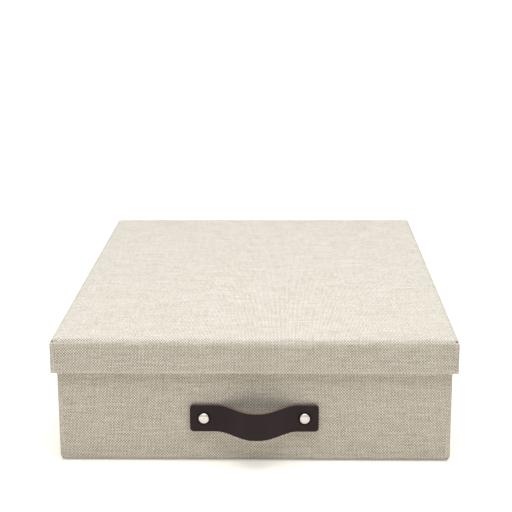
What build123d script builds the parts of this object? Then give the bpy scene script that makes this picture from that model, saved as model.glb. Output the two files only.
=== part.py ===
from build123d import *
from math import radians, tan
import os

# File box: a creased board tray under a loose lift-off lid, both wrapped in woven cloth,
# with a riveted leather pull on the short front wall.
#
# Millimetres. The origin is the centre of the underside, +Z is up, +Y points to the back
# and the pull is on the front wall, which faces -Y.

# Overall sizes
lid_width = 260.0  # across the front, outside the lid
lid_depth = 350.0  # front to back, outside the lid
box_height = 84.0  # from the underside to the lid's top
lid_rim_height = 23.0  # from the lid's top to the rim's lower edge

# Sheets that the box is made of
board_thickness = 2.0  # solid greyboard
cover_thickness = 0.5  # woven cloth on a paper backing
lining_thickness = 0.25  # paper glued to the inside
stay_thickness = 0.2  # kraft tape over the board's open corners

# Folds, corners and running gaps
board_fold_radius = 3.5  # outside of a crease in the board
board_corner_radius = 0.3  # where two cut walls meet
corner_slit = 0.3  # gap between two cut walls of one blank
lid_clearance = 0.5  # between the lid's rim and the tray, on each side
sheet_gap = 0.1  # between a lining sheet and the walls round it

# Paper and cloth that ends inside the tray
tray_turn_in = 15.0  # cloth folded over the tray's rim, down the inside
lining_drop = 6.0  # from the tray's rim down to the lining's top edge

# Corner stays
stay_leg = 13.0  # tape on each wall, from the corner
stay_end_gap = 1.5  # left clear of the tape at each end

# Leather pull
strap_width = 18.0
strap_thickness = 2.6
strap_corner_radius = 2.5
strap_centre_height = 30.5  # above the underside
bow_rise = 16.0  # how far the middle stands away from the wall
bow_slope = 48.0  # degrees, the steepest part of the bow
bow_radius = 13.0  # of the strap's middle line at each bend
bow_crown = 2.0  # straight part at the top of the bow
rivet_from_bow = 5.4  # flat leather from the bow's last bend to a rivet's axis
rivet_from_end = 9.0  # from a rivet's axis to the strap's end

# Rivets
rivet_stem_radius = 1.4
rivet_hole_clearance = 0.1  # on the radius
cap_radius = 3.5
cap_height = 1.7
cap_rim = 0.5  # straight edge under the cap's dome
cap_socket_depth = 1.0
cap_socket_clearance = 0.03  # on the radius, once the stem is set
head_radius = 3.5  # the rivet's own head, inside the tray
head_height = 1.0
washer_radius = 5.0
washer_thickness = 0.6

# The lid's skin, from outside in, sets how far the tray stands in from it
lid_wall = 2 * cover_thickness + board_thickness
tray_width = lid_width - 2 * (lid_wall + lid_clearance)
tray_depth = lid_depth - 2 * (lid_wall + lid_clearance)
lid_top_stack = cover_thickness + board_thickness + lining_thickness
tray_height = box_height - lid_top_stack
lid_rim_z = box_height - lid_rim_height
cover_fold_radius = board_fold_radius + cover_thickness
cover_corner_radius = board_corner_radius + cover_thickness

# The board's outside and inside, for the tray and for the lid
tray_board_width = tray_width - 2 * cover_thickness
tray_board_depth = tray_depth - 2 * cover_thickness
tray_inner_width = tray_board_width - 2 * board_thickness
tray_inner_depth = tray_board_depth - 2 * board_thickness
lid_board_width = lid_width - 2 * cover_thickness
lid_board_depth = lid_depth - 2 * cover_thickness
lid_inner_width = lid_board_width - 2 * board_thickness
lid_inner_depth = lid_board_depth - 2 * board_thickness

tray_floor_z = cover_thickness + board_thickness
tray_board_top_z = tray_height - cover_thickness
lid_ceiling_z = box_height - cover_thickness - board_thickness
lid_board_low_z = lid_rim_z + cover_thickness
turn_in_z = tray_height - tray_turn_in
front_y = -tray_depth / 2  # the tray's front face, which the pull lies on
inside_y = front_y + cover_thickness + board_thickness + lining_thickness

# The strap's middle line in plan is a trapezium with each corner bent to bow_radius
flat_y = front_y - strap_thickness / 2
bend_reach = bow_radius * tan(radians(bow_slope / 2))
crown_x = bend_reach + bow_crown / 2
foot_x = crown_x + bow_rise / tan(radians(bow_slope))
rivet_x = foot_x + bend_reach + rivet_from_bow
strap_end_x = rivet_x + rivet_from_end

# Where a rivet's parts lie along its axis, from the cap in front to the head inside
cap_seat_y = front_y - strap_thickness
stem_tip_y = cap_seat_y - cap_socket_depth
head_seat_y = inside_y + washer_thickness

corner_signs = {
    "front_left": (-1, -1),
    "front_right": (1, -1),
    "back_left": (-1, 1),
    "back_right": (1, 1),
}


def save(part, name):
    """Labels one finished piece and writes its file."""
    part.label = name
    export_step(part, f"parts/{name}.step")


def folded_block(width, depth, low_z, high_z, fold_radius, corner_radius, crease_at_top):
    """Outside shape of a creased box: square-cut wall corners, rounded creases at one end."""
    height = high_z - low_z
    with BuildPart() as block:
        with BuildSketch(Plane.XY.offset(low_z)):
            RectangleRounded(width, depth, corner_radius)
        extrude(amount=height)
        for plane, span, length in ((Plane.XZ, width, depth), (Plane.YZ, depth, width)):
            with BuildSketch(plane) as section:
                with Locations((0, low_z + height / 2)):
                    Rectangle(span, height)
                low_corners, high_corners = section.vertices().group_by(Axis.Y)
                fillet(high_corners if crease_at_top else low_corners, fold_radius)
            extrude(amount=length / 2, both=True, mode=Mode.INTERSECT)
    return block.part


def corner_stay(board_width, board_depth, low_z, high_z, side_x, side_y):
    """One strip of tape folded round an upright corner of the board."""
    with BuildPart() as stay:
        with BuildSketch(Plane.XY.offset(low_z)):
            RectangleRounded(
                board_width + 2 * stay_thickness,
                board_depth + 2 * stay_thickness,
                board_corner_radius + stay_thickness,
            )
            RectangleRounded(board_width, board_depth, board_corner_radius, mode=Mode.SUBTRACT)
            with Locations((side_x * board_width / 2, side_y * board_depth / 2)):
                Rectangle(2 * stay_leg, 2 * stay_leg, mode=Mode.INTERSECT)
        extrude(amount=high_z - low_z)
    return stay.part


def corner_stays(prefix, board_width, board_depth, low_z, high_z):
    """The four stays of one blank, by name."""
    return {
        f"{prefix}_corner_stay_{corner}": corner_stay(
            board_width, board_depth, low_z, high_z, side_x, side_y
        )
        for corner, (side_x, side_y) in corner_signs.items()
    }


os.makedirs("parts", exist_ok=True)

# Room for the two rivet stems, right through the strap and the front wall
stem_room_radius = rivet_stem_radius + rivet_hole_clearance
with BuildPart() as rivet_bores:
    with BuildSketch(Plane.XZ.offset(-inside_y - washer_thickness)):
        with Locations((0, strap_centre_height)):
            with GridLocations(2 * rivet_x, 1, 2, 1):
                Circle(stem_room_radius)
    extrude(amount=washer_thickness + inside_y - front_y + 2 * strap_thickness)

# ---- Tray ----

tray_board_block = folded_block(
    tray_board_width,
    tray_board_depth,
    cover_thickness,
    tray_board_top_z,
    board_fold_radius,
    board_corner_radius,
    crease_at_top=False,
)
tray_cover_block = folded_block(
    tray_width,
    tray_depth,
    0,
    tray_height,
    cover_fold_radius,
    cover_corner_radius,
    crease_at_top=False,
)
tray_stays = corner_stays(
    "tray",
    tray_board_width,
    tray_board_depth,
    cover_thickness + board_fold_radius + stay_end_gap,
    tray_board_top_z - stay_end_gap,
)
for name, stay in tray_stays.items():
    save(stay, name)

# One blank: its walls are creased up from the floor and parted at the corners by slits
with BuildPart() as tray_board:
    add(tray_board_block)
    with BuildSketch(Plane.XY.offset(tray_floor_z)):
        Rectangle(tray_inner_width, tray_inner_depth)
    extrude(amount=tray_board_top_z - tray_floor_z, mode=Mode.SUBTRACT)
    with BuildSketch(Plane.XY.offset(tray_floor_z)):
        with GridLocations(
            tray_inner_width - corner_slit, tray_board_depth - board_thickness, 2, 2
        ):
            Rectangle(corner_slit, board_thickness)
    extrude(amount=tray_board_top_z - tray_floor_z, mode=Mode.SUBTRACT)
    add(rivet_bores.part, mode=Mode.SUBTRACT)
save(tray_board.part, "tray_board")

# One cloth sheet: under the floor, up the walls, over the rim and down the inside
with BuildPart() as tray_cover:
    add(tray_cover_block)
    add([tray_board_block, *tray_stays.values()], mode=Mode.SUBTRACT)
    with BuildSketch(Plane.XY.offset(tray_board_top_z)):
        Rectangle(tray_inner_width, tray_inner_depth)
    extrude(amount=cover_thickness, mode=Mode.SUBTRACT)
    with BuildSketch(Plane.XY.offset(turn_in_z)):
        Rectangle(tray_inner_width, tray_inner_depth)
        offset(amount=-cover_thickness, mode=Mode.SUBTRACT)
    extrude(amount=tray_turn_in)
    add(rivet_bores.part, mode=Mode.SUBTRACT)
save(tray_cover.part, "tray_cover")

with BuildPart() as tray_floor_lining:
    with BuildSketch(Plane.XY.offset(tray_floor_z)):
        Rectangle(tray_inner_width - 2 * sheet_gap, tray_inner_depth - 2 * sheet_gap)
    extrude(amount=lining_thickness)
save(tray_floor_lining.part, "tray_floor_lining")

# Stands on the floor lining, then steps in over the cloth's turned-in edge
with BuildPart() as tray_wall_lining:
    with BuildSketch(Plane.XY.offset(tray_floor_z + lining_thickness)):
        Rectangle(tray_inner_width, tray_inner_depth)
        offset(amount=-lining_thickness, mode=Mode.SUBTRACT)
    extrude(amount=turn_in_z - tray_floor_z - lining_thickness)
    with BuildSketch(Plane.XY.offset(turn_in_z - lining_thickness)):
        Rectangle(tray_inner_width, tray_inner_depth)
        offset(amount=-cover_thickness - lining_thickness, mode=Mode.SUBTRACT)
    extrude(amount=lining_thickness)
    with BuildSketch(Plane.XY.offset(turn_in_z)):
        Rectangle(tray_inner_width - 2 * cover_thickness, tray_inner_depth - 2 * cover_thickness)
        offset(amount=-lining_thickness, mode=Mode.SUBTRACT)
    extrude(amount=tray_turn_in - lining_drop)
    add(rivet_bores.part, mode=Mode.SUBTRACT)
save(tray_wall_lining.part, "tray_wall_lining")

# ---- Lid ----

lid_board_block = folded_block(
    lid_board_width,
    lid_board_depth,
    lid_board_low_z,
    box_height - cover_thickness,
    board_fold_radius,
    board_corner_radius,
    crease_at_top=True,
)
lid_cover_block = folded_block(
    lid_width,
    lid_depth,
    lid_rim_z,
    box_height,
    cover_fold_radius,
    cover_corner_radius,
    crease_at_top=True,
)
lid_stays = corner_stays(
    "lid",
    lid_board_width,
    lid_board_depth,
    lid_board_low_z + stay_end_gap,
    box_height - cover_thickness - board_fold_radius - stay_end_gap,
)
for name, stay in lid_stays.items():
    save(stay, name)

with BuildPart() as lid_board:
    add(lid_board_block)
    with BuildSketch(Plane.XY.offset(lid_board_low_z)):
        Rectangle(lid_inner_width, lid_inner_depth)
    extrude(amount=lid_ceiling_z - lid_board_low_z, mode=Mode.SUBTRACT)
    with BuildSketch(Plane.XY.offset(lid_board_low_z)):
        with GridLocations(lid_inner_width - corner_slit, lid_board_depth - board_thickness, 2, 2):
            Rectangle(corner_slit, board_thickness)
    extrude(amount=lid_ceiling_z - lid_board_low_z, mode=Mode.SUBTRACT)
save(lid_board.part, "lid_board")

# One cloth sheet: over the top, down the rim, round its lower edge and up to the ceiling
with BuildPart() as lid_cover:
    add(lid_cover_block)
    add([lid_board_block, *lid_stays.values()], mode=Mode.SUBTRACT)
    with BuildSketch(Plane.XY.offset(lid_rim_z)):
        Rectangle(lid_inner_width, lid_inner_depth)
    extrude(amount=cover_thickness, mode=Mode.SUBTRACT)
    with BuildSketch(Plane.XY.offset(lid_rim_z)):
        Rectangle(lid_inner_width, lid_inner_depth)
        offset(amount=-cover_thickness, mode=Mode.SUBTRACT)
    extrude(amount=lid_ceiling_z - lid_rim_z)
save(lid_cover.part, "lid_cover")

# Lies on the ceiling inside the cloth's turned-in edges, and rests on the tray's rim
with BuildPart() as lid_lining:
    with BuildSketch(Plane.XY.offset(tray_height)):
        Rectangle(
            lid_inner_width - 2 * (cover_thickness + sheet_gap),
            lid_inner_depth - 2 * (cover_thickness + sheet_gap),
        )
    extrude(amount=lining_thickness)
save(lid_lining.part, "lid_lining")

# ---- Leather pull ----

with BuildPart() as handle_strap:
    with BuildSketch(Plane.XY.offset(strap_centre_height - strap_width / 2)):
        with BuildLine():
            FilletPolyline(
                (-strap_end_x, flat_y),
                (-foot_x, flat_y),
                (-crown_x, flat_y - bow_rise),
                (crown_x, flat_y - bow_rise),
                (foot_x, flat_y),
                (strap_end_x, flat_y),
                radius=bow_radius,
            )
        trace(line_width=strap_thickness)
    extrude(amount=strap_width)
    left_end, *_, right_end = handle_strap.faces().filter_by(Axis.X).sort_by(Axis.X)
    end_corners = left_end.edges().filter_by(Axis.Y) + right_end.edges().filter_by(Axis.Y)
    fillet(end_corners, strap_corner_radius)
    add(rivet_bores.part, mode=Mode.SUBTRACT)
save(handle_strap.part, "handle_strap")

# ---- Rivets ----


def rivet_cap(x):
    """Domed cap on the strap, with the blind socket that grips the stem's tip."""
    socket_radius = rivet_stem_radius + cap_socket_clearance
    dome_edge_y = cap_seat_y - cap_rim
    dome_top_y = cap_seat_y - cap_height
    with BuildPart() as cap:
        with BuildSketch(Plane.XY.offset(strap_centre_height)):
            with BuildLine():
                Polyline(
                    (x, dome_top_y),
                    (x, stem_tip_y),
                    (x + socket_radius, stem_tip_y),
                    (x + socket_radius, cap_seat_y),
                    (x + cap_radius, cap_seat_y),
                    (x + cap_radius, dome_edge_y),
                )
                TangentArc((x, dome_top_y), (x + cap_radius, dome_edge_y), tangent=(1, 0))
            make_face()
        revolve(axis=Axis((x, 0, strap_centre_height), (0, 1, 0)))
    return cap.part


def rivet_body(x):
    """Stem through the wall and strap, with its low domed head inside the tray."""
    dome_top_y = head_seat_y + head_height
    with BuildPart() as body:
        with BuildSketch(Plane.XY.offset(strap_centre_height)):
            with BuildLine():
                Polyline(
                    (x, dome_top_y),
                    (x, stem_tip_y),
                    (x + rivet_stem_radius, stem_tip_y),
                    (x + rivet_stem_radius, head_seat_y),
                    (x + head_radius, head_seat_y),
                )
                TangentArc((x, dome_top_y), (x + head_radius, head_seat_y), tangent=(1, 0))
            make_face()
        revolve(axis=Axis((x, 0, strap_centre_height), (0, 1, 0)))
    return body.part


def rivet_washer(x):
    """Flat washer that spreads the pull over the lining and board."""
    with BuildPart() as washer:
        with BuildSketch(Plane.XZ.offset(-head_seat_y)):
            with Locations((x, strap_centre_height)):
                Circle(washer_radius)
                Circle(stem_room_radius, mode=Mode.SUBTRACT)
        extrude(amount=washer_thickness)
    return washer.part


for side, x in (("left", -rivet_x), ("right", rivet_x)):
    save(rivet_cap(x), f"rivet_cap_{side}")
    save(rivet_body(x), f"rivet_{side}")
    save(rivet_washer(x), f"rivet_washer_{side}")
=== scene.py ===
# %% [markdown]
# # A cloth-covered document box
#
# The object is a flat box for A4 papers. A tray of greyboard stands under a loose lid, both
# are wrapped in woven linen-coloured cloth, and a dark leather strap is riveted to the short
# front wall as a pull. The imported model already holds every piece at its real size. This file
# gives the pieces that can be seen their finished surface, and lights and frames them.
#
# Everything is in metres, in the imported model's own frame: +Z up, the pull towards -Y.

import bmesh
import bpy
import numpy as np
from mathutils import Matrix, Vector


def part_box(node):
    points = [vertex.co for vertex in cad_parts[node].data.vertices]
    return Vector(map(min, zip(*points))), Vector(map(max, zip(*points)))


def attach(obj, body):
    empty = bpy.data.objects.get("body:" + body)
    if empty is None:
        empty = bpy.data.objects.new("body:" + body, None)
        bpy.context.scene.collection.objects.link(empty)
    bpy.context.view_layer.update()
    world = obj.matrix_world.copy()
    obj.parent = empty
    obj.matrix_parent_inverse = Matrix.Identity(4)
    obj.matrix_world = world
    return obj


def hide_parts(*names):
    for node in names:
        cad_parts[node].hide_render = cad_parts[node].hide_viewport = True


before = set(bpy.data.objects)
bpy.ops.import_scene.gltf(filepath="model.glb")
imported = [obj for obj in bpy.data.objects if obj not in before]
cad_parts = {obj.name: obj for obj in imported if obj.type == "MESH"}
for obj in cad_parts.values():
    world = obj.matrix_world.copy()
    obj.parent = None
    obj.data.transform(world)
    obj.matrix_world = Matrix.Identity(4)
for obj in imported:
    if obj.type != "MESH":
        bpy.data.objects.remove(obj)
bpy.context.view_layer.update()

mm = 0.001

# %% [markdown]
# ## Camera
#
# The camera stands where the photograph's lens stood. Its place and tilt were found by fitting
# the box's straight edges, so they are given as plain values: a long lens a little above the
# box, looking down by about fourteen degrees. A rotation matrix is safer here than the camera's
# own three angles, because the small turns are applied one after the other in a known order.

# %% Camera
camera_place = np.array([19.7, -951.0, 334.8]) * mm
lens_length = 90.64  # on a sensor 36 mm wide
look_down, look_aside, tilt = np.radians([14.20, -1.33, -0.30])


def turn_about(axis, angle):
    """Rotation matrix about X, Y or Z by an angle in radians."""
    return np.array(Matrix.Rotation(angle, 3, axis))


# Rows are the picture's right, the picture's down and the depth, for a level camera facing +Y
level_view = np.array([[1.0, 0, 0], [0, 0, -1.0], [0, 1.0, 0]])
view = turn_about("Z", tilt) @ turn_about("X", look_down) @ level_view @ turn_about("Z", look_aside)
camera_axes = view.T @ np.diag([1, -1, -1])

camera_data = bpy.data.cameras.new("camera")
camera_data.lens = lens_length
camera = bpy.data.objects.new("camera", camera_data)
camera.matrix_world = Matrix.Translation(camera_place) @ Matrix(camera_axes).to_4x4()
bpy.context.scene.collection.objects.link(camera)
bpy.context.scene.camera = camera
print("camera at", camera_place.round(3))

# %% [markdown]
# ## Sizes
#
# No size is typed twice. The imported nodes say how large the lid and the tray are, and how thick
# the cloth, board and paper are, so the surfaces below always fit what they cover.

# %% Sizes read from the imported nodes


def extent(node):
    """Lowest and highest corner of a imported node, as numpy arrays."""
    low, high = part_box(node)
    return np.array(low), np.array(high)


lid_low, lid_high = extent("lid_cover")
tray_low, tray_high = extent("tray_cover")
board_bottom = extent("tray_board")[0][2]
floor_low, floor_high = extent("tray_floor_lining")
band_low, band_high = extent("tray_wall_lining")
sheet_low, sheet_high = extent("lid_lining")
strap_low, strap_high = extent("handle_strap")

cloth = board_bottom - tray_low[2]
board = floor_low[2] - board_bottom
paper = floor_high[2] - floor_low[2]
wall = 2 * cloth + board
front_y = tray_low[1]
print("cloth, board, paper in mm:", [round(t / mm, 2) for t in (cloth, board, paper)])

# %% [markdown]
# ## Nodes in a few words
#
# Materials are built in Python, so four small helpers keep that readable: one adds a node and
# wires its inputs, one does arithmetic, and two start and place a group with named sockets.

# %% Helpers for shader nodes


def wire(tree, kind, settings=(), **inputs):
    """Adds a node, sets its properties, and links or sets each named input."""
    node = tree.nodes.new(kind)
    for key, value in dict(settings).items():
        setattr(node, key, value)
    for label, value in inputs.items():
        socket = node.inputs[label.replace("_", " ")]
        if isinstance(value, bpy.types.NodeSocket):
            tree.links.new(value, socket)
        else:
            socket.default_value = value
    return node


def calc(tree, operation, *values, kind="ShaderNodeMath"):
    """One Math (or Vector Math) node, with sockets or plain numbers as its operands."""
    node = tree.nodes.new(kind)
    node.operation = operation
    for socket, value in zip(node.inputs, values):
        if isinstance(value, bpy.types.NodeSocket):
            tree.links.new(value, socket)
        else:
            socket.default_value = value
    return node.outputs[0]


def start_group(name, inputs, outputs):
    """An empty node group with named inputs (name, type, default) and float outputs."""
    tree = bpy.data.node_groups.new(name, "ShaderNodeTree")
    for label, kind, default in inputs:
        socket = tree.interface.new_socket(label, in_out="INPUT", socket_type=kind)
        if default is not None:
            socket.default_value = default
    for label in outputs:
        tree.interface.new_socket(label, in_out="OUTPUT", socket_type="NodeSocketFloat")
    return tree, tree.nodes.new("NodeGroupInput").outputs, tree.nodes.new("NodeGroupOutput").inputs


def place_group(tree, group, **inputs):
    """Puts a node group into a tree and returns its outputs."""
    node = wire(tree, "ShaderNodeGroup", {"node_tree": group}, **inputs)
    return node.outputs


print("node groups before any is made:", len(bpy.data.node_groups))

# %% [markdown]
# ## The weave
#
# The cloth is a plain weave: each thread passes over one neighbour and under the next, about
# eleven threads to the centimetre. An image texture would fix its size and blur up close, so
# the pattern is arithmetic on the cloth's own coordinates, in metres on the flat sheet. A
# thread's roundness is a sine across it and its rise and fall is a sine along it. The higher of
# the two threads is the one that shows. Crossings with the warp on top are painted paler than
# those with the weft on top, a painted shading for the light falling differently on the two
# thread directions, and this makes a fine chequer. The low gaps between threads are painted
# darker, as painted shade. Real linen is uneven, so noise bends the threads slightly and
# makes each one lighter or darker along its length. The weft's slow changes are the darker
# streaks called slubs, and they run across the front as they do in the photograph.

# %% Node group: plain weave


def make_weave():
    """Height = max(sin across warp * its lift, sin across weft * its lift). Tone = thread shade +
    painted shading.
    """
    tree, given, result = start_group(
        "plain weave",
        [
            ("Sheet", "NodeSocketVector", None),
            ("Warp Pitch", "NodeSocketFloat", 1.0 * mm),
            ("Weft Pitch", "NodeSocketFloat", 1.0 * mm),
            ("Wander", "NodeSocketFloat", 0.5),
            ("Streaks", "NodeSocketFloat", 0.5),
            ("Slubs", "NodeSocketFloat", 0.5),
            ("Chequer", "NodeSocketFloat", 0.2),
            ("Gap Depth", "NodeSocketFloat", 0.5),
        ],
        ["Tone", "Height"],
    )

    def noise(vector, scale, detail=2.0, rough=0.55):
        """The outputs of a noise texture."""
        return wire(
            tree, "ShaderNodeTexNoise", Vector=vector, Scale=scale, Detail=detail, Roughness=rough
        ).outputs

    def spread(value, amount):
        """Noise about one half, turned into -amount..+amount."""
        return calc(tree, "MULTIPLY", calc(tree, "SUBTRACT", value, 0.5), amount)

    # Threads wander by about a pitch, over centimetres and over a few threads
    bends_per_metre = 70.0
    drift = noise(given["Sheet"], bends_per_metre, 4.0, 0.7)["Color"]
    drift = calc(tree, "SUBTRACT", drift, (0.5, 0.5, 0.5), kind="ShaderNodeVectorMath")
    reach = calc(tree, "MULTIPLY", given["Wander"], given["Warp Pitch"])
    reach = wire(tree, "ShaderNodeCombineXYZ", X=reach, Y=reach).outputs[0]
    drift = calc(tree, "MULTIPLY", drift, reach, kind="ShaderNodeVectorMath")
    place = calc(tree, "ADD", given["Sheet"], drift, kind="ShaderNodeVectorMath")
    parts = wire(tree, "ShaderNodeSeparateXYZ", Vector=place).outputs
    across = calc(tree, "DIVIDE", parts["X"], given["Warp Pitch"])
    along = calc(tree, "DIVIDE", parts["Y"], given["Weft Pitch"])

    fullness = 0.6  # a power below 1 makes a sine fuller

    def thread(count, run, sign):
        """Round profile of one thread set, times its lift over and under the other set."""
        index = calc(tree, "FLOOR", count)
        profile = calc(tree, "SINE", calc(tree, "MULTIPLY", calc(tree, "FRACT", count), np.pi))
        side = calc(tree, "COSINE", calc(tree, "MULTIPLY", index, np.pi))
        wave = calc(tree, "SINE", calc(tree, "MULTIPLY", run, np.pi))
        lift = calc(tree, "MULTIPLY", calc(tree, "MULTIPLY", wave, side), 0.5 * sign)
        lift = calc(tree, "ADD", lift, 0.5)
        body = calc(tree, "POWER", profile, fullness)
        return index, calc(tree, "MULTIPLY", body, calc(tree, "POWER", lift, fullness))

    warp_index, warp = thread(across, along, 1.0)
    weft_index, weft = thread(along, across, -1.0)

    # A streak is noise that is new for each thread and slow along it
    thread_apart, streak_slow, weft_apart = 5.7, 0.045, 9.0
    warp_key = wire(
        tree,
        "ShaderNodeCombineXYZ",
        X=calc(tree, "MULTIPLY", warp_index, thread_apart),
        Y=calc(tree, "MULTIPLY", along, streak_slow),
    )
    weft_key = wire(
        tree,
        "ShaderNodeCombineXYZ",
        X=calc(tree, "MULTIPLY", across, streak_slow),
        Y=calc(tree, "MULTIPLY", weft_index, thread_apart),
        Z=weft_apart,
    )
    warp_shade = noise(warp_key.outputs[0], 1.0, 3.0)["Fac"]
    weft_shade = noise(weft_key.outputs[0], 1.0, 3.0)["Fac"]
    usual_height, uneven_height = 0.95, 0.5

    def uneven(body, shade):
        """A thread's height, which is more where its shade is paler."""
        factor = calc(tree, "ADD", spread(shade, uneven_height), usual_height)
        return calc(tree, "MULTIPLY", body, factor)

    warp = uneven(warp, warp_shade)
    weft = uneven(weft, weft_shade)
    height = calc(tree, "MAXIMUM", warp, weft)
    on_top = calc(tree, "GREATER_THAN", warp, weft)
    shade = wire(
        tree, "ShaderNodeMix", {"data_type": "FLOAT"}, Factor=on_top, A=weft_shade, B=warp_shade
    ).outputs[0]
    # Soft clouds over a few threads, darker wefts, and specks smaller than a crossing
    clouds_per_metre, cloud_amount = 190.0, 0.3
    specks_per_metre, speck_amount = 900.0, 1.4
    mottle = spread(noise(given["Sheet"], clouds_per_metre, 3.0, 0.6)["Fac"], cloud_amount)
    slub = spread(weft_shade, given["Slubs"])
    speckle = spread(noise(given["Sheet"], specks_per_metre, 2.0, 0.7)["Fac"], speck_amount)
    tone = calc(tree, "MULTIPLY", calc(tree, "SUBTRACT", shade, 0.5), given["Streaks"])
    tone = calc(tree, "ADD", calc(tree, "ADD", tone, slub), calc(tree, "ADD", mottle, speckle))
    # Painted shading: crossings with the warp on top are paler than those with the weft on top
    chequer = calc(tree, "MULTIPLY", calc(tree, "SUBTRACT", on_top, 0.5), given["Chequer"])
    middle_height, middle_tone = 0.72, 0.6
    # Painted shade: the lower the weave, the darker, so the gaps between threads look shaded
    gap = calc(tree, "MULTIPLY", calc(tree, "SUBTRACT", height, middle_height), given["Gap Depth"])
    tone = calc(tree, "ADD", calc(tree, "ADD", tone, gap), calc(tree, "ADD", chequer, middle_tone))
    tree.links.new(tone, result["Tone"])
    tree.links.new(height, result["Height"])
    return tree


weave = make_weave()
print("weave group:", len(weave.nodes), "nodes")

# %% [markdown]
# ## Fibres and grain
#
# Paper, greyboard and kraft tape are all pressed fibre and differ only in colour and in how
# coarse the fibre is, so they share one group. Leather and the rivets' metal share another: a
# pebbled grain with fine scratches, deep on the leather and almost nothing on the nickel.

# %% Node groups: pressed fibre and pebbled grain


def make_fibre():
    """Tone = cloudy noise + short flecks, which are a noise stretched along x. Height = the flecks."""
    tree, given, result = start_group(
        "pressed fibre",
        [("Vector", "NodeSocketVector", None), ("Fibre Size", "NodeSocketFloat", 1.0 * mm)],
        ["Tone", "Height"],
    )
    scaled = wire(tree, "ShaderNodeVectorMath", {"operation": "SCALE"}, Vector=given["Vector"])
    tree.links.new(calc(tree, "DIVIDE", 1.0, given["Fibre Size"]), scaled.inputs["Scale"])
    cloud = wire(
        tree, "ShaderNodeTexNoise", Vector=scaled.outputs[0], Scale=0.12, Detail=4.0, Roughness=0.6
    ).outputs["Fac"]
    stretch = calc(
        tree, "MULTIPLY", scaled.outputs[0], (0.25, 1.0, 0.6), kind="ShaderNodeVectorMath"
    )
    fleck = wire(
        tree, "ShaderNodeTexNoise", Vector=stretch, Scale=1.0, Detail=3.0, Roughness=0.7, Distortion=1.2
    ).outputs["Fac"]
    fleck_amount = 1.4
    tone = calc(tree, "MULTIPLY", calc(tree, "SUBTRACT", fleck, 0.5), fleck_amount)
    tone = calc(tree, "ADD", calc(tree, "ADD", tone, calc(tree, "SUBTRACT", cloud, 0.5)), 0.5)
    tree.links.new(tone, result["Tone"])
    tree.links.new(fleck, result["Height"])
    return tree


def make_grain():
    """Height = smooth pebbles, by distance to scattered points, + a fine noise of pores."""
    tree, given, result = start_group(
        "pebbled grain",
        [("Vector", "NodeSocketVector", None), ("Pebble Size", "NodeSocketFloat", 0.8 * mm)],
        ["Tone", "Height"],
    )
    scaled = wire(tree, "ShaderNodeVectorMath", {"operation": "SCALE"}, Vector=given["Vector"])
    tree.links.new(calc(tree, "DIVIDE", 1.0, given["Pebble Size"]), scaled.inputs["Scale"])
    smooth = {"feature": "SMOOTH_F1"}
    pebble = wire(
        tree, "ShaderNodeTexVoronoi", smooth, Vector=scaled.outputs[0], Scale=1.0, Smoothness=0.6
    ).outputs["Distance"]
    pore = wire(
        tree, "ShaderNodeTexNoise", Vector=scaled.outputs[0], Scale=2.3, Detail=4.0, Roughness=0.65
    ).outputs["Fac"]
    pebble_height, pore_height = -0.7, 0.6
    height = calc(tree, "MULTIPLY", pebble, pebble_height)
    height = calc(tree, "ADD", height, calc(tree, "MULTIPLY", pore, pore_height))
    cloud = wire(
        tree, "ShaderNodeTexNoise", Vector=scaled.outputs[0], Scale=0.07, Detail=3.0
    ).outputs["Fac"]
    tone = calc(tree, "ADD", calc(tree, "MULTIPLY", height, 0.5), cloud)
    tree.links.new(tone, result["Tone"])
    tree.links.new(height, result["Height"])
    return tree


fibre = make_fibre()
grain = make_grain()
print("fibre and grain groups:", len(fibre.nodes), len(grain.nodes), "nodes")

# %% [markdown]
# ## Materials
#
# Each finish has one function. The Principled shader stays in the material, and the groups only
# feed what changes over the surface: the colour, the roughness and the height of a bump.

# %% Helpers for materials


def start_material(name):
    """A new material's tree and its Principled shader."""
    material = bpy.data.materials.new(name)
    material.use_nodes = True
    tree = material.node_tree
    return material, tree, tree.nodes["Principled BSDF"]


def blend_colours(tree, factor, first, second):
    """First colour + factor * (second - first), where each end is a colour or a socket."""
    mix = wire(tree, "ShaderNodeMix", {"data_type": "RGBA", "clamp_factor": True})
    tree.links.new(factor, mix.inputs[0])
    for socket, value in ((mix.inputs[6], first), (mix.inputs[7], second)):
        if isinstance(value, bpy.types.NodeSocket):
            tree.links.new(value, socket)
        else:
            socket.default_value = (*value, 1.0)
    return mix.outputs[2]


def add_bump(tree, shader, height, depth):
    """Bump of a real depth in metres."""
    bump = wire(tree, "ShaderNodeBump", Height=height, Strength=1.0, Distance=depth)
    tree.links.new(bump.outputs[0], shader.inputs["Normal"])


print("node groups that the materials share:", [group.name for group in bpy.data.node_groups])

# %% Cloth, leather and metal


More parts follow.
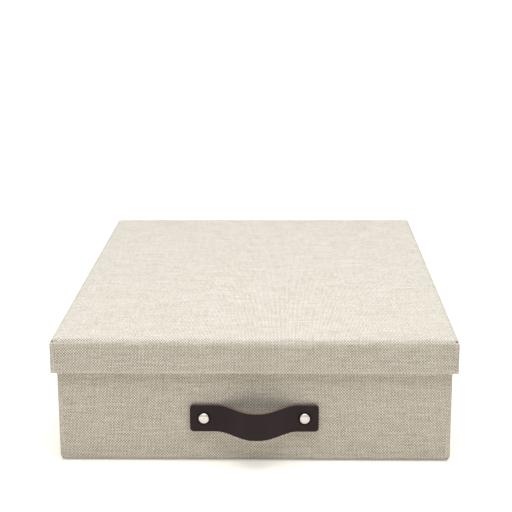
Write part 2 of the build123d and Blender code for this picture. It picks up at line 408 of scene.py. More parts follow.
def make_cloth():
    """Natural linen-coloured plain weave, matt, with a painted highlight along its folds, a paler band
    at each seam, and painted shade in the tucks.
    """
    material, tree, shader = start_material("woven cloth")
    sheet = wire(tree, "ShaderNodeUVMap", {"uv_map": "sheet"}).outputs[0]
    out = place_group(
        tree,
        weave,
        Sheet=sheet,
        Warp_Pitch=0.88 * mm,
        Weft_Pitch=0.96 * mm,
        Wander=1.2,
        Streaks=0.5,
        Slubs=0.5,
        Chequer=0.8,
        Gap_Depth=1.0,
    )
    # Painted highlight along the crease and the rim's edge, and a paler band at each seam
    painted_highlight_and_seam = wire(tree, "ShaderNodeAttribute", {"attribute_name": "painted_highlight_and_seam"}).outputs["Fac"]
    highlight_and_seam_paleness = 0.22
    tone = calc(tree, "ADD", out["Tone"], calc(tree, "MULTIPLY", painted_highlight_and_seam, highlight_and_seam_paleness))
    dark_thread, pale_thread, tuck_painted_shade = (0.325, 0.277, 0.19), (1.0, 0.95, 0.86), (0.105, 0.07, 0.04)
    colour = blend_colours(tree, tone, dark_thread, pale_thread)
    # Painted shade in each tuck's pit
    tuck = wire(tree, "ShaderNodeAttribute", {"attribute_name": "tuck"}).outputs["Fac"]
    colour = blend_colours(tree, tuck, colour, tuck_painted_shade)
    tree.links.new(colour, shader.inputs["Base Color"])
    add_bump(tree, shader, out["Height"], depth=0.25 * mm)
    shader.inputs["Roughness"].default_value = 0.92
    shader.inputs["Specular IOR Level"].default_value = 0.35
    return material


def make_leather():
    """Dark brown smooth leather, with the paler fibrous core where it is cut."""
    material, tree, shader = start_material("strap leather")
    sheet = wire(tree, "ShaderNodeUVMap", {"uv_map": "sheet"}).outputs[0]
    out = place_group(tree, grain, Vector=sheet, Pebble_Size=0.55 * mm)
    dark_dye, pale_dye = (0.0138, 0.0062, 0.0088), (0.024, 0.011, 0.0162)
    ring_painted_shade = (0.004, 0.0025, 0.003)
    dark_core, pale_core = (0.125, 0.08, 0.062), (0.25, 0.17, 0.13)
    face = blend_colours(tree, out["Tone"], dark_dye, pale_dye)
    flesh = place_group(tree, fibre, Vector=sheet, Fibre_Size=0.35 * mm)
    core = blend_colours(tree, flesh["Tone"], dark_core, pale_core)
    cut = wire(tree, "ShaderNodeAttribute", {"attribute_name": "cut_edge"}).outputs["Fac"]
    # Painted shade in the pressed ring round each rivet
    pressed = wire(tree, "ShaderNodeAttribute", {"attribute_name": "pressed"}).outputs["Fac"]
    face = blend_colours(tree, pressed, face, ring_painted_shade)
    tree.links.new(blend_colours(tree, cut, face, core), shader.inputs["Base Color"])
    face_rough, cut_rougher, grain_rougher = 0.5, 0.35, 0.06
    rough = calc(tree, "ADD", calc(tree, "MULTIPLY", cut, cut_rougher), face_rough)
    rough = calc(tree, "ADD", rough, calc(tree, "MULTIPLY", out["Tone"], grain_rougher))
    tree.links.new(rough, shader.inputs["Roughness"])
    add_bump(tree, shader, out["Height"], depth=0.05 * mm)
    shader.inputs["Specular IOR Level"].default_value = 0.215
    return material


def make_nickel():
    """Polished nickel plate with a faint brushed unevenness."""
    material, tree, shader = start_material("nickel")
    place = wire(tree, "ShaderNodeTexCoord").outputs["Object"]
    out = place_group(tree, grain, Vector=place, Pebble_Size=0.5 * mm)
    dark_plate, pale_plate = (0.46, 0.43, 0.405), (0.76, 0.715, 0.68)
    colour = blend_colours(tree, out["Tone"], dark_plate, pale_plate)
    tree.links.new(colour, shader.inputs["Base Color"])
    smooth_rough, brushed_rougher = 0.12, 0.12
    rough = calc(tree, "MULTIPLY", out["Tone"], brushed_rougher)
    tree.links.new(calc(tree, "ADD", rough, smooth_rough), shader.inputs["Roughness"])
    add_bump(tree, shader, out["Height"], depth=0.01 * mm)
    shader.inputs["Metallic"].default_value = 1.0
    return material


cloth_finish = make_cloth()
leather_finish = make_leather()
nickel_finish = make_nickel()
print("made:", [finish.name for finish in (cloth_finish, leather_finish, nickel_finish)])

# %% Paper, greyboard and tape


def make_pressed(name, dark, light, fibre_size, depth, rough):
    """A sheet of pressed fibre, from its two colours and how coarse its fibre is."""
    material, tree, shader = start_material(name)
    place = wire(tree, "ShaderNodeTexCoord").outputs["Object"]
    out = place_group(tree, fibre, Vector=place, Fibre_Size=fibre_size)
    tree.links.new(blend_colours(tree, out["Tone"], dark, light), shader.inputs["Base Color"])
    add_bump(tree, shader, out["Height"], depth)
    shader.inputs["Roughness"].default_value = rough
    shader.inputs["Specular IOR Level"].default_value = 0.25
    return material


paper_finish = make_pressed(
    "lining paper",
    dark=(0.70, 0.665, 0.59),
    light=(0.84, 0.81, 0.745),
    fibre_size=1.2 * mm,
    depth=0.02 * mm,
    rough=0.85,
)
board_finish = make_pressed(
    "greyboard",
    dark=(0.24, 0.23, 0.21),
    light=(0.52, 0.50, 0.46),
    fibre_size=1.5 * mm,
    depth=0.06 * mm,
    rough=0.95,
)
tape_finish = make_pressed(
    "kraft tape",
    dark=(0.36, 0.24, 0.13),
    light=(0.58, 0.43, 0.27),
    fibre_size=1.0 * mm,
    depth=0.03 * mm,
    rough=0.7,
)
print("made:", [finish.name for finish in (paper_finish, board_finish, tape_finish)])

# %% [markdown]
# ## A surface carried round a rectangle
#
# The covers, the linings and even the strap's cross-section are all rounded rectangles at
# different heights, so one idea makes them all. Each column of the grid has a place on a core
# rectangle and an outward direction. A point is the core, shrunk by the corner radius, plus the
# direction times that radius. Rows then stack such outlines along a profile. The columns are
# close together near the corners, where the cloth is folded, and far apart along the walls.

# %% Columns round a rectangle


def side_stops(half, near, spacing):
    """Places from -1 to 1 along a side: at the near distances from each end, then evenly."""
    near = np.array(near)
    middle = half - near[-1]
    count = max(2, int(np.ceil(2 * middle / spacing)))
    even = np.linspace(-middle, middle, count + 1)[1:-1]
    return np.concatenate([-half + near, even, half - near[::-1]]) / half


def rectangle_columns(half_x, half_y, near, spacing, corner_steps):
    """Core places and outward directions, anticlockwise from the front left corner.

    One side and the quarter turn after it are worked out along the front, and the next three
    are the same turned by 90, 180 and 270 degrees.
    """
    turn = np.radians(np.linspace(0, 90, corner_steps + 1))[1:-1]
    cores, directions = [], []
    for quarter in range(4):
        stops = side_stops((half_x, half_y)[quarter % 2], near, spacing)
        core = np.concatenate([
            np.stack([stops, np.full(len(stops), -1.0)], 1),
            np.tile([1.0, -1.0], (len(turn), 1)),
        ])
        direction = np.concatenate([
            np.tile([0.0, -1.0], (len(stops), 1)),
            np.stack([np.sin(turn), -np.cos(turn)], 1),
        ])
        cos, sin = round(np.cos(quarter * np.pi / 2)), round(np.sin(quarter * np.pi / 2))
        spin = np.array([[cos, sin], [-sin, cos]])
        cores.append(core @ spin)
        directions.append(direction @ spin)
    return np.concatenate(cores), np.concatenate(directions)


def outlines(columns, half_x, half_y, radius):
    """Rows of outline points: core * (half size - radius) + direction * radius."""
    core, direction = columns
    half = np.stack([half_x, half_y], 1)[:, None, :]
    radius = np.asarray(radius)[:, None, None]
    return core[None] * (half - radius) + direction[None] * radius


def plan_sizes(low, high):
    """Half sizes and middle of a box, seen from above."""
    return (high - low)[:2] / 2, (high + low)[:2] / 2


def raised(plan, height):
    """Points (rows, columns, 3) from their places in plan and one height for each row."""
    return np.concatenate([plan, np.broadcast_to(height[:, None, None], plan.shape[:2] + (1,))], 2)


trial = rectangle_columns(5 * mm, 10 * mm, [0], 5 * mm, 3)
print("columns round a 10 x 20 mm rectangle in 5 mm steps:", len(trial[0]))

# %% From a grid of points to a closed mesh
weld_distance = 0.002 * mm
sharp_from = np.radians(40)


def surface(name, points, finish, sheet=None, rows_close=False, masks=None):
    """Closed mesh from a grid of points (rows, columns, 3), whose columns run all the way round.

    The first and last row are each one repeated point, which is merged to a pole, or the rows
    close on themselves too. sheet holds flat coordinates for each face's near and far column,
    and masks are numbers at each point, which the materials read by name.
    """
    rows, columns = points.shape[:2]
    row = np.arange(rows if rows_close else rows - 1)
    next_row = (row + 1) % rows
    column = np.arange(columns)
    next_column = (column + 1) % columns
    corners = [
        row[:, None] * columns + column,
        row[:, None] * columns + next_column,
        next_row[:, None] * columns + next_column,
        next_row[:, None] * columns + column,
    ]
    faces = np.stack(corners, -1).reshape(-1, 4)
    flat = points.reshape(-1, 3)
    # A face's corners a, b, c and d give its share of the volume, whose sign says which way is out
    a, b, c, d = (flat[faces[:, k]] for k in range(4))
    volume = np.einsum("ij,ij->", a, np.cross(b, c)) + np.einsum("ij,ij->", a, np.cross(c, d))
    order = [0, 1, 2, 3] if volume > 0 else [3, 2, 1, 0]

    mesh = bpy.data.meshes.new(name)
    mesh.from_pydata(flat, [], faces[:, order])
    if sheet is not None:
        near, far = sheet
        uv = np.stack([near[row], far[row], far[next_row], near[next_row]], 2).reshape(-1, 4, 2)
        layer = mesh.uv_layers.new(name="sheet")
        layer.data.foreach_set("uv", uv[:, order].astype(np.float32).ravel())
    for label, mask in (masks or {}).items():
        attribute = mesh.attributes.new(label, "FLOAT", "POINT")
        attribute.data.foreach_set("value", mask.astype(np.float32).ravel())

    merged = bmesh.new()
    merged.from_mesh(mesh)
    bmesh.ops.remove_doubles(merged, verts=merged.verts, dist=weld_distance)
    merged.to_mesh(mesh)
    merged.free()
    mesh.polygons.foreach_set("use_smooth", np.ones(len(mesh.polygons), bool))
    mesh.set_sharp_from_angle(angle=sharp_from)
    mesh.materials.append(finish)
    piece = bpy.data.objects.new(name, mesh)
    bpy.context.scene.collection.objects.link(piece)
    print(name, "has", len(mesh.polygons), "faces")
    return piece


def stand_for(piece, node, body):
    """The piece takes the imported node's place, moves with its body and has its finish."""
    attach(piece, body)
    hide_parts(node)


# %% [markdown]
# ## The cloth covers
#
# Each cover is one sheet of cloth glued to creased board: flat over the panel, round the soft
# crease, down the wall, over the cut rim and up the inside. That path is a profile, and the
# grid carries it round the rectangle. The way back, against the board, closes the sheet to its
# real thickness. The coordinates on the flat sheet come from the same profile, so the weave
# runs on over the crease without a break and stops only where the real cloth is cut. A cube
# with Bevel and Solidify modifiers would be quicker, but it has no such path, and its weave
# would jump at every edge.
#
# At each upright corner the side's cloth is folded a few millimetres round onto the front and
# back, and the front's cut edge lies on it; that wrapped band is a little paler. Where that fold
# meets the crease, the cloth is tucked in, which leaves a small pit at every corner, sunk into
# the cloth and darkened with painted shade. The crease and the rim's edge get a painted
# highlight where folded threads would catch light.

# %% Profile of a cover
crease_radius = 4.0 * mm
rim_radius = 0.5 * mm
quarter_turn = np.radians(np.linspace(0, 90, 25))
few_turns = np.radians(np.linspace(0, 90, 5))
inside_rows = 4


def cover_profile(full, turned_to, wall_rows):
    """Inset from the wall's outside and distance from the panel, along the sheet and back.

    The crease and both edges of the rim are quarter circles. Also returns how many rows show.
    """
    fold = crease_radius
    roll = rim_radius
    under = fold - cloth
    shown = [
        (fold * (1 - np.sin(quarter_turn)), fold * (1 - np.cos(quarter_turn))),
        (np.zeros(wall_rows), np.linspace(fold, full - roll, wall_rows + 2)[1:-1]),
        (roll * (1 - np.cos(few_turns)), full - roll * (1 - np.sin(few_turns))),
        (wall - roll * (1 - np.sin(few_turns)), full - roll * (1 - np.cos(few_turns))),
        (np.full(inside_rows, wall), np.linspace(full - 2 * roll, turned_to, inside_rows)),
    ]
    back = [
        (np.full(2, wall - cloth), np.array([turned_to, full - cloth])),
        (np.full(2, cloth), np.array([full - cloth, fold])),
        (cloth + under * (1 - np.cos(few_turns[1:])), fold - under * np.sin(few_turns[1:])),
    ]
    count = sum(len(inset) for inset, _ in shown)
    inset, reach = (np.concatenate([part[k] for part in shown + back]) for k in range(2))
    return inset, reach, count


def cloth_length(inset, reach):
    """Length of cloth from the panel's edge to each row: the sum of its straight steps."""
    steps = np.hypot(np.diff(inset), np.diff(reach))
    return np.concatenate([[0], np.cumsum(steps)])


lid_wall_rows, tray_wall_rows = 8, 24
lid_ceiling = lid_high[2] - sheet_high[2]
lid_profile = cover_profile(lid_high[2] - lid_low[2], lid_ceiling, lid_wall_rows)
print("rows in the lid's profile:", len(lid_profile[0]), "of which show:", lid_profile[2])

# %% Sizes of the seams, tucks and painted highlights on the folds
seam_inset = 3.0 * mm  # how far a side's cloth comes round onto the front and back
seam_step = 0.10 * mm  # how far the front's cut edge stands over it
tuck_place = np.array([1.85, 3.9]) * mm  # from the upright corner, and down the crease
tuck_half = np.array([0.75, 0.6]) * mm  # half its width, and half its height along the sheet
tuck_depth = 0.28 * mm  # with the step and the waves still less than the cloth's thickness
crease_highlight, crease_highlight_half = 0.75, 1.0 * mm  # how strong, and half how wide along the sheet
rim_highlight, rim_highlight_half = 1.0, 0.6 * mm
crease_highlight_turn = np.radians(74)  # how far round the crease its painted highlight is strongest
rim_highlight_lift = 0.4 * mm  # how far above the rim's edge its painted highlight is strongest
seam_paleness = 0.25
wave_depth = 0.1 * mm
print("tuck, step and waves go in by", round((tuck_depth + seam_step + wave_depth) / mm, 2), "mm")

# %% Waves, painted highlights and tucks on a cover


def unevenness(place, phase):
    """Shallow hand-made waves, always inwards: a sine along x, one along y and one slantwise."""
    x, y, z = np.moveaxis(place, -1, 0)
    waves = np.sin(x / (17 * mm) + phase) + np.sin(y / (23 * mm) + 2 * phase)
    waves = waves + np.sin((x + y) / (11 * mm) - z / (9 * mm) + phase)
    return -wave_depth / 2 * (waves / 3 + 1)


def tucked(from_corner, used):
    """exp(-(u squared + v squared) squared), with u and v counted from the pit in half sizes."""
    across = (from_corner - tuck_place[0]) / tuck_half[0]
    down = (used[:, None] - tuck_place[1]) / tuck_half[1]
    return np.exp(-((across**2 + down**2) ** 2))


def painted_fold_highlights(used, height):
    """Painted highlight where folded threads catch light: a bell curve along the crease and one along
    the rim's edge.
    """
    crease_run = crease_radius * crease_highlight_turn
    rim_run = height - crease_radius - rim_highlight_lift + crease_radius * np.pi / 2
    crease = crease_highlight * np.exp(-(((used - crease_run) / crease_highlight_half) ** 2))
    return crease + rim_highlight * np.exp(-(((used - rim_run) / rim_highlight_half) ** 2))


# %% Directions and flat coordinates on a cover


def cover_normals(inset, reach, up, direction, is_wall):
    """Outward normals: across the plan from the columns, along the profile from its slope."""
    slope_out = np.gradient(-inset)
    slope_reach = np.gradient(reach)
    steep = np.hypot(slope_out, slope_reach) + 1e-12
    lean = np.where(is_wall, slope_reach / steep, 0.0)
    rise = np.where(is_wall, -slope_out / steep, -1.0)
    across = lean[:, None, None] * direction
    upward = np.broadcast_to(up * rise[:, None, None], across.shape[:2] + (1,))
    return np.concatenate([across, upward], 2)


def flat_sheet(plan, half, inset, used, from_corner, past_panel, on_front, front_face):
    """Places on the flat sheet for each face's near and far column.

    Past the panel's edge, the front's and back's cloth runs on in y and the sides' in x, by the
    length of cloth used. The sides' cloth also runs on round each corner.
    """
    x, y = plan[..., 0], plan[..., 1]
    past = past_panel[:, None]
    edge = half - crease_radius
    run_x = np.where(past, np.sign(x) * (edge[0] + used[:, None]), x)
    run_y = np.where(past, np.sign(y) * (edge[1] + used[:, None]), y)
    beyond_corner = from_corner - 2 * inset[:, None]
    round_y = np.where(on_front & past, np.sign(y) * (half[1] + beyond_corner), y)
    front = np.stack([x, run_y], -1)
    side = np.stack([run_x, round_y], -1)
    front_face = front_face[None, :, None]
    near = np.where(front_face, front, side)
    far = np.where(front_face, np.roll(front, -1, 1), np.roll(side, -1, 1))
    return near, far


# %% A cover from its profile
corner_radius, corner_steps = 0.8 * mm, 5
wall_corner_stops = np.array([*np.arange(0, 3.1, 0.2), 3.15, 4, 6, 9, 13]) * mm
wall_spacing = 6 * mm
panel_rows = 14
seam_slack = 0.05 * mm  # less than half a column, so that the seam falls between two of them


def cloth_cover(name, low, high, panel_up, turned_to, wall_rows, phase):
    """One sheet over a box: scaled outlines across the panel, then the profile's rows."""
    half, middle = plan_sizes(low, high)
    base, up = (high[2], -1.0) if panel_up else (low[2], 1.0)
    inset, reach, shown = cover_profile(high[2] - low[2], turned_to, wall_rows)
    used = cloth_length(inset, reach)

    # The panel's rows are the crease's first row, scaled down to the centre
    grow = np.linspace(0, 1, panel_rows + 1)[:-1]
    shrink = np.linspace(1, 0, 3)[1:]
    size = np.concatenate([grow, np.ones(len(inset)), shrink])[:, None]
    more_rows = (len(grow), len(shrink))
    inset, reach, used = (np.pad(part, more_rows, "edge") for part in (inset, reach, used))
    row = np.arange(len(size))
    is_out = row < len(grow) + shown
    is_wall = is_out & (row >= len(grow))

    columns = rectangle_columns(*half, wall_corner_stops, wall_spacing, corner_steps)
    direction = columns[1]
    outline = outlines(columns, half[0] - inset, half[1] - inset, np.full(len(inset), corner_radius))
    plan = outline * size[:, :, None] + middle
    points = raised(plan, base + up * reach)

    # The side's cloth lies under the front's between the corner and the seam
    on_front = np.abs(direction[:, 0]) < 1e-6
    from_corner = half[0] - np.abs(plan[..., 0] - middle[0])
    wrapped = on_front & (from_corner < seam_inset + seam_slack) & is_wall[:, None]
    near_crease = is_wall & (used < 3 * crease_radius)
    # The pit's mask sinks the cloth, and the material also darkens it there as painted shade
    tuck = tucked(from_corner, used) * (on_front & near_crease[:, None])
    # Painted highlight where the crease and the rim's edge catch light, and the seam's paler band
    painted_highlight_and_seam = (painted_fold_highlights(used, high[2] - low[2]) * is_wall)[:, None] + seam_paleness * wrapped
    shift = unevenness(points, phase) * is_out[:, None] - seam_step * wrapped - tuck_depth * tuck
    points = points + cover_normals(inset, reach, up, direction, is_wall) * shift[..., None]

    first_wall_row = len(grow) + len(quarter_turn)
    far_from_corner = np.minimum(from_corner, np.roll(from_corner, -1, 1))[first_wall_row]
    front_face = on_front & np.roll(on_front, -1) & (far_from_corner > seam_inset - seam_slack)
    past_panel = is_wall | ~is_out
    sheet = flat_sheet(plan, half, inset, used, from_corner, past_panel, on_front, front_face)
    return surface(name, points, cloth_finish, sheet, masks={"tuck": tuck, "painted_highlight_and_seam": painted_highlight_and_seam})


# %% The lid's and the tray's covers
lid_cloth = cloth_cover(
    "lid_cover_cloth", lid_low, lid_high, True, lid_ceiling, lid_wall_rows, phase=0.3
)
stand_for(lid_cloth, "lid_cover", "lid")

turn_in = 15 * mm
tray_turned_to = tray_high[2] - tray_low[2] - turn_in
tray_cloth = cloth_cover(
    "tray_cover_cloth", tray_low, tray_high, False, tray_turned_to, tray_wall_rows, phase=1.7
)
stand_for(tray_cloth, "tray_cover", "tray")

# %% [markdown]
# ## The paper inside
#
# Three pieces of paper finish the inside. A band stands round the tray's walls and steps over
# the cloth's turned-in edge, and plain sheets lie on the tray's floor and the lid's ceiling.
# The band's profile closes on itself, so it is a ring; the sheets close to a point at each face.
# Flat planes would do for the sheets, but the exported model needs their real thickness.

# %% Linings
paper_corner, paper_corner_steps = 0.5 * mm, 3
paper_stops = np.array([0, 0.5, 2, 6]) * mm
paper_spacing = 12 * mm
step_above, step_below, step_foot = 0.3 * mm, 0.4 * mm, 1.2 * mm  # heights of its bends
step_bend = 0.7 * paper  # how far in the middle bend stands from the step


def paper_band(name, low, high, step_height, step_in):
    """Ring with the band's profile: back of the paper up, over, and its face down again."""
    half, middle = plan_sizes(low, high)
    back = np.array([[0, low[2]], [0, step_height], [step_in, step_height], [step_in, high[2]]])
    face = np.array([
        [step_in + paper, high[2]],
        [step_in + paper, step_height + step_above],
        [step_in + step_bend, step_height - step_below],
        [paper, step_height - step_foot],
        [paper, low[2]],
    ])
    inset, height = np.concatenate([back, face]).T
    columns = rectangle_columns(*half, paper_stops, paper_spacing, paper_corner_steps)
    plan = outlines(columns, half[0] - inset, half[1] - inset, np.full(len(inset), paper_corner))
    return surface(name, raised(plan + middle, height), paper_finish, rows_close=True)


def paper_sheet(name, low, high):
    """Thin slab: a point, the lower outline, the upper outline and a point."""
    half, middle = plan_sizes(low, high)
    columns = rectangle_columns(*half, paper_stops, paper_spacing, paper_corner_steps)
    size = np.array([0, 1, 1, 0])
    plan = outlines(columns, np.full(4, half[0]), np.full(4, half[1]), np.full(4, paper_corner))
    plan = plan * size[:, None, None] + middle
    height = np.array([low[2], low[2], high[2], high[2]])
    return surface(name, raised(plan, height), paper_finish)


band = paper_band("tray_wall_paper", band_low, band_high, tray_high[2] - turn_in, cloth)
stand_for(band, "tray_wall_lining", "tray")
floor_sheet = paper_sheet("tray_floor_paper", floor_low, floor_high)
stand_for(floor_sheet, "tray_floor_lining", "tray")
lid_sheet = paper_sheet("lid_paper", sheet_low, sheet_high)
stand_for(lid_sheet, "lid_lining", "lid")

# %% [markdown]
# ## The leather pull
#
# The strap is a flat strip of leather a little longer than the gap between its rivets, so its
# middle stands away from the wall. A raised cosine has that shape: flat at both ends, steepest
# half way, round at the top. The strip's section is a small rounded rectangle, carried along
# that curve, and it narrows at each end to give the rounded end corners. Under each rivet the
# leather is pressed in, and a mask darkens that ring with painted shade. The strip was cut
# from a brown hide that is dyed dark on its face, so another mask marks the cut edges and the
# back, where the paler core shows. A strip bent with a curve modifier would stretch on the
# outside of each bend, and here the thickness and the grain stay even.

# %% Strap
cap_low, cap_high = extent("rivet_cap_right")
rivet_x = (cap_low[0] + cap_high[0]) / 2
rivet_z = (cap_low[2] + cap_high[2]) / 2
cap_radius = (cap_high[0] - cap_low[0]) / 2
strap_thickness = front_y - cap_high[1]
strap_width = strap_high[2] - strap_low[2]
strap_half = strap_high[0]
bow_rise = front_y - strap_low[1] - strap_thickness
bow_half = 26.5 * mm  # where the bow begins, from the middle
crown_half = 1.5 * mm  # flat at the top of the bow
end_corner = 2.5 * mm
edge_radius, edge_steps = 0.2 * mm, 4
strap_stops, strap_spacing = np.array([0, 0.3, 0.7]) * mm, 0.35 * mm
curve_samples, bow_rows, end_rows = 4001, 300, 9
cut_level, cut_fall = 1.25, 1.6
bow_lean = 1.7 * mm  # the bow stands a little to one side, as handled leather does
press_depth = 0.6 * mm
press_slack, press_fade = 0.3 * mm, 0.45 * mm  # how far past the cap it is pressed, and fades
swell_height = 0.08 * mm
swell_reach, swell_half = 2.0 * mm, 0.9 * mm  # how far past the cap it swells, and half how wide
print("strap, mm:", np.round(np.array([strap_width, strap_thickness, bow_rise]) / mm, 2))


def bow(x):
    """Raised cosine: the rise at the bow's middle, nothing beyond bow_half from it."""
    turn = np.clip((np.abs(x - bow_lean) - crown_half) / (bow_half - crown_half), 0, 1) * np.pi
    return bow_rise * (1 + np.cos(turn)) / 2


def make_strap():
    """Section outlines along the bow's curve, with pressed rings round the rivets."""
    # Even steps along the curve, and a quarter circle of close ones at each end
    x = np.linspace(-strap_half, strap_half, curve_samples)
    depth = strap_thickness / 2 + bow(x)
    run = np.concatenate([[0], np.cumsum(np.hypot(np.diff(x), np.diff(depth)))])
    ends = end_corner * (1 - np.cos(np.radians(np.linspace(0, 90, end_rows))))
    middle = np.linspace(end_corner, run[-1] - end_corner, bow_rows)[1:-1]
    s = np.concatenate([[0], ends, middle, run[-1] - ends[::-1], [run[-1]]])
    x, depth = np.interp(s, run, x), np.interp(s, run, depth)
    from_end = np.minimum(s, run[-1] - s)

    def eased(full, radius):
        """Size that grows as a quarter circle over the radius from each end."""
        missing = radius - np.clip(from_end, 0, radius)
        return full - radius + np.sqrt(radius**2 - missing**2)

    half_width = eased(strap_width / 2, end_corner)
    half_thick = eased(strap_thickness / 2, edge_radius)
    half_width[[0, -1]] = half_thick[[0, -1]] = 1e-9  # as good as a point
    columns = rectangle_columns(
        strap_width / 2, strap_thickness / 2, strap_stops, strap_spacing, edge_steps
    )
    section = outlines(columns, half_width, half_thick, np.minimum(edge_radius, half_thick))
    upward, outwards = section[..., 0], section[..., 1]

    # Pressed ring and the slight swelling round it, on the outer face only
    centre = np.where(x < 0, -rivet_x, rivet_x)
    apart = np.hypot((x - centre)[:, None], upward)
    ring = np.exp(-(np.clip(apart - cap_radius - press_slack, 0, None) / press_fade) ** 2)
    swell = np.exp(-(((apart - cap_radius - swell_reach) / swell_half) ** 2))
    face = np.clip(columns[1][:, 1], 0, 1)[None] * (outwards > 0)
    outwards = outwards + (swell_height * swell - press_depth * ring) * face

    slope = np.gradient(depth, x)
    turn = np.arctan(np.nan_to_num(slope))[:, None]
    place_x = x[:, None] - outwards * np.sin(turn)
    place_y = front_y - depth[:, None] - outwards * np.cos(turn)
    points = np.stack([place_x, place_y, rivet_z + upward], -1)
    # Flat coordinates: along the strip, and round its section with one step more to close it
    steps = np.linalg.norm(np.diff(section[len(s) // 2], axis=0), axis=1)
    around = np.concatenate([[0], np.cumsum(steps)])
    around = np.append(around, around[-1] + 0.5 * mm)
    flat = np.stack(np.broadcast_arrays(s[:, None], around[None]), -1)
    sheet = (flat[:, :-1], flat[:, 1:])

    # 1 on the cut edges and the back, 0 on the face, and in between on the rounded edge
    cut = np.clip(cut_level - cut_fall * np.clip(columns[1][:, 1], 0, 1), 0, 1)
    cut = np.broadcast_to(cut, points.shape[:2]).copy()
    cut[[0, 1, -2, -1]] = 1.0
    # The pressed ring's mask also darkens the leather there as painted shade
    masks = {"cut_edge": cut, "pressed": ring * face}
    return surface("handle_strap_leather", points, leather_finish, sheet, masks=masks)


strap = make_strap()
stand_for(strap, "handle_strap", "tray")

# %% [markdown]
# ## Rivets
#
# A tubular rivet has a domed cap in front, a stem through the wall and a low head on a washer
# inside. All are turned shapes: a profile of radius and height carried round the rivet's axis.
# The Screw modifier does the same, but a grid from the profile also closes its own poles.

# %% Turned pieces
turn_steps = 40
stem_radius, hole_radius = 1.4 * mm, 1.5 * mm
cap_foot_inset, cap_rim = 0.3 * mm, 0.35 * mm
cap_skirt = 0.5 * mm  # how far the cap is pressed into the leather
tip_ease, head_ease, head_rim, washer_ease = 0.2 * mm, 0.15 * mm, 0.1 * mm, 0.12 * mm


def turned(name, x, profile, rows_close=False):
    """Surface of revolution about the rivet's axis at x: a circle of each radius at each y."""
    radius, y = np.array(profile).T
    angle = np.linspace(0, 2 * np.pi, turn_steps, endpoint=False)
    across, up = radius[:, None] * np.cos(angle), radius[:, None] * np.sin(angle)
    points = np.stack(np.broadcast_arrays(x + across, y[:, None], rivet_z + up), -1)
    return surface(name, points, nickel_finish, rows_close=rows_close)


def dome(radius, foot_y, top_y, steps=12):
    """Quarter of an ellipse: radius * cosine, and foot + height * sine."""
    angle = np.linspace(0, np.pi / 2, steps)
    return [(radius * np.cos(a), foot_y + (top_y - foot_y) * np.sin(a)) for a in angle]


def rivet_pieces(side, x):
    """Cap, rivet and washer of one side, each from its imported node's sizes."""
    low, high = extent(f"rivet_cap_{side}")
    seat, top = high[1], low[1]
    foot_radius, skirt_end = cap_radius - cap_foot_inset, seat + cap_skirt
    cap = [(0, seat), (foot_radius, seat), (foot_radius, skirt_end), (cap_radius, skirt_end)]
    cap += dome(cap_radius, seat - cap_rim, top)
    stand_for(turned(f"rivet_cap_{side}_dome", x, cap), f"rivet_cap_{side}", "tray")

    washer_low, washer_high = extent(f"rivet_washer_{side}")
    outer = (washer_high[0] - washer_low[0]) / 2
    near, far = washer_low[1], washer_high[1]
    flat = [(hole_radius, near), (outer - washer_ease, near), (outer, near + washer_ease)]
    flat += [(outer, far - washer_ease), (outer - washer_ease, far), (hole_radius, far)]

    low, high = extent(f"rivet_{side}")
    head, tip = (high[0] - low[0]) / 2, low[1]
    body = [(0, tip), (stem_radius - tip_ease, tip), (stem_radius, tip + tip_ease)]
    body += [(stem_radius, far), (head - head_ease, far), *dome(head, far + head_rim, high[1])]
    stand_for(turned(f"rivet_{side}_body", x, body), f"rivet_{side}", "tray")

    washer = turned(f"rivet_washer_{side}_ring", x, flat, rows_close=True)
    stand_for(washer, f"rivet_washer_{side}", "tray")


rivet_pieces("left", -rivet_x)
rivet_pieces("right", rivet_x)

# %% [markdown]
# ## Hidden pieces
#
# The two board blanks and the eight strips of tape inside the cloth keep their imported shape,
# and only get their finish.

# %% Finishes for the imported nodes
hidden = [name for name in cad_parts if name.endswith("_board") or "_corner_stay_" in name]
for name in hidden:
    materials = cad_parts[name].data.materials
    materials.clear()
    materials.append(board_finish if name.endswith("_board") else tape_finish)
print("packed nodes with a finish:", len(hidden))

# %% [markdown]
# ## Floor, background and light
#
# The photograph has a plain white ground. A white floor sends a lot of light up at the walls,
# and that is what lights the front here. The world is a dim even grey for the light it gives
# and plain white where it is seen. The floor glows only where it is seen, a little near the box
# and more further out, so it reads as white all the way back and still keeps the soft shadow.
# One large lamp overhead makes the lid's top the brightest face. The lamp is a touch cool and
# the floor a touch warm, because the walls in the photograph are a little warmer than the top.

# %% Floor and world
floor_half = 6.0
floor_drop = 0.05 * mm  # just clear of the box's underside
world_level = 0.235


def seen_ray(tree):
    """1 for rays that show the background: straight from the camera, mirrored or passed through."""
    path = tree.nodes.new("ShaderNodeLightPath").outputs
    seen = calc(tree, "MAXIMUM", path["Is Camera Ray"], path["Is Glossy Ray"])
    return calc(tree, "MAXIMUM", seen, path["Is Transmission Ray"])


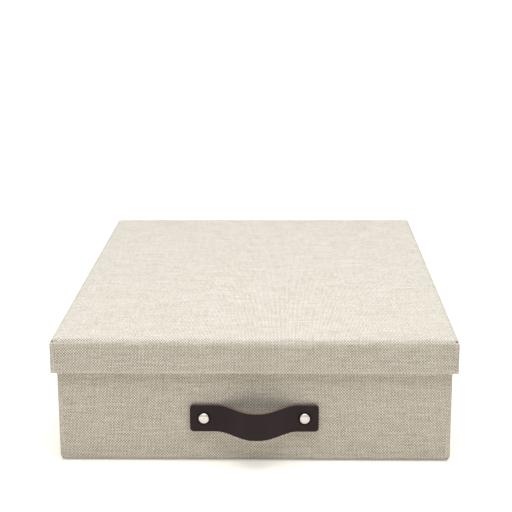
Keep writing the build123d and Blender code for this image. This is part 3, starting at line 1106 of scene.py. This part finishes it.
def make_floor():
    """Square of white ground, whose extra glow is for seen rays alone."""
    square = np.array([[-1, -1, 0], [1, -1, 0], [1, 1, 0], [-1, 1, 0]])
    corners = square * floor_half - [0, 0, floor_drop]
    mesh = bpy.data.meshes.new("floor")
    mesh.from_pydata(corners, [], [(0, 1, 2, 3)])
    material, tree, shader = start_material("white ground")
    shader.inputs["Base Color"].default_value = (0.9, 0.86, 0.765, 1.0)
    shader.inputs["Roughness"].default_value = 1.0
    shader.inputs["Specular IOR Level"].default_value = 0.0
    shader.inputs["Emission Color"].default_value = (1.0, 1.0, 1.0, 1.0)
    place = wire(tree, "ShaderNodeTexCoord").outputs["Object"]
    distance = wire(tree, "ShaderNodeVectorMath", {"operation": "LENGTH"}, Vector=place).outputs
    fade = wire(
        tree,
        "ShaderNodeMapRange",
        Value=distance["Value"],
        From_Min=0.25,
        From_Max=1.0,
        To_Min=0.33,
        To_Max=0.9,
    )
    glow = calc(tree, "MULTIPLY", seen_ray(tree), fade.outputs[0])
    tree.links.new(glow, shader.inputs["Emission Strength"])
    mesh.materials.append(material)
    floor = bpy.data.objects.new("floor", mesh)
    bpy.context.scene.collection.objects.link(floor)
    return floor


def make_world(level):
    """Even grey light of the given level, and plain white where it is seen."""
    world = bpy.data.worlds.new("white studio")
    world.use_nodes = True
    tree = world.node_tree
    sky = tree.nodes["Background"]
    sky.inputs["Color"].default_value = (1.0, 1.0, 1.0, 1.0)
    strength = wire(tree, "ShaderNodeMapRange", Value=seen_ray(tree), To_Min=level, To_Max=1.0)
    tree.links.new(strength.outputs[0], sky.inputs["Strength"])
    bpy.context.scene.world = world


floor_piece = make_floor()
make_world(world_level)
print(floor_piece.name, "laid, world light level", world_level)

# %% Overhead lamp
lamp_size = 1.6
lamp_place = (0.08, -0.25, 1.5)
lamp_data = bpy.data.lights.new("overhead softbox", "AREA")
lamp_data.shape = "SQUARE"
lamp_data.size = lamp_size
lamp_data.energy = 31.7
lamp_data.color = (0.95, 0.96, 0.99)
lamp = bpy.data.objects.new("overhead softbox", lamp_data)
lamp.location = lamp_place
bpy.context.scene.collection.objects.link(lamp)
bpy.context.scene.view_settings.view_transform = "Standard"
print("lamp", lamp_size, "m wide,", lamp_data.energy, "watts, at", lamp_place)
